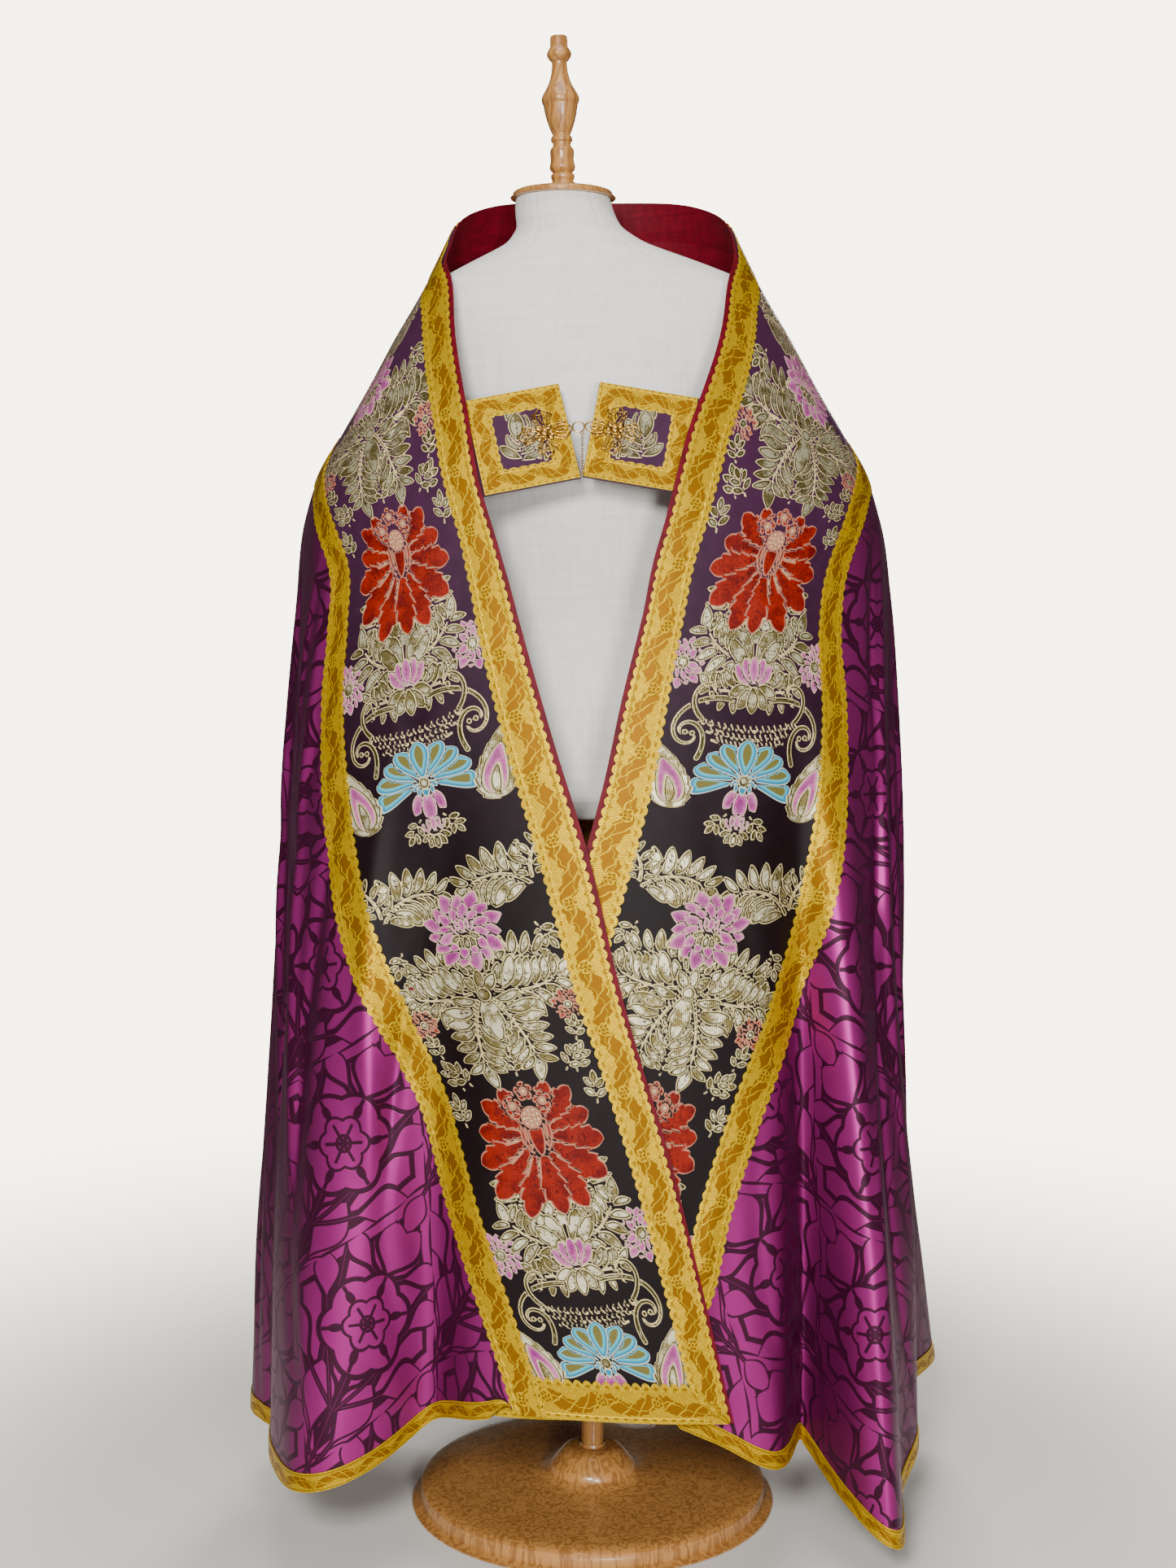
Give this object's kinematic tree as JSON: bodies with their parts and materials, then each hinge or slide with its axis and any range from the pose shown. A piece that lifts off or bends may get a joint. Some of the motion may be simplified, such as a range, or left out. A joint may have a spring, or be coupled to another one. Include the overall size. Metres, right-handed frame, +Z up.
{
  "type": "cope vestment on a dress form",
  "caption": "Half-round cloak in figured damask, worn open with crossed fronts, wide brocade bands, gold trims, lining and a chest clasp, on a limbless dress form.",
  "frame": {"origin": "centre of the underside of the round base, on the floor", "axes": "+Z up, -Y towards the front of the garment, +X to a viewer's right"},
  "size_m": [0.8741, 0.6726, 1.7937],
  "materials": {
    "damask": "figured satin damask",
    "brocade": "brocaded satin with metal thread",
    "galloon": "woven gold trim",
    "lining": "plain satin",
    "linen": "matt linen cover",
    "wood": "clear varnish",
    "gilt": "gilt filigree"
  },
  "bodies": {
    "root": {"cloak_left": "damask", "cloak_left_side": "damask", "cloak_back": "damask", "cloak_right_side": "damask", "cloak_right": "damask", "band_left": "brocade", "band_right": "brocade", "galloon_edge": "galloon", "galloon_seam": "galloon", "galloon_bottom_left": "galloon", "galloon_bottom_right": "galloon", "galloon_hem": "galloon", "lining": "lining", "morse_left": "brocade", "morse_right": "brocade", "morse_galloon_left": "galloon", "morse_galloon_right": "galloon", "clasp_left": "gilt", "clasp_right": "gilt", "clasp_stone_left": "gilt", "clasp_stone_right": "gilt", "clasp_link": "gilt", "clasp_chain": "gilt", "dress_form": "linen", "neck_cap": "wood", "finial": "wood", "pole": "wood", "base": "wood"}
  },
  "joints": []
}
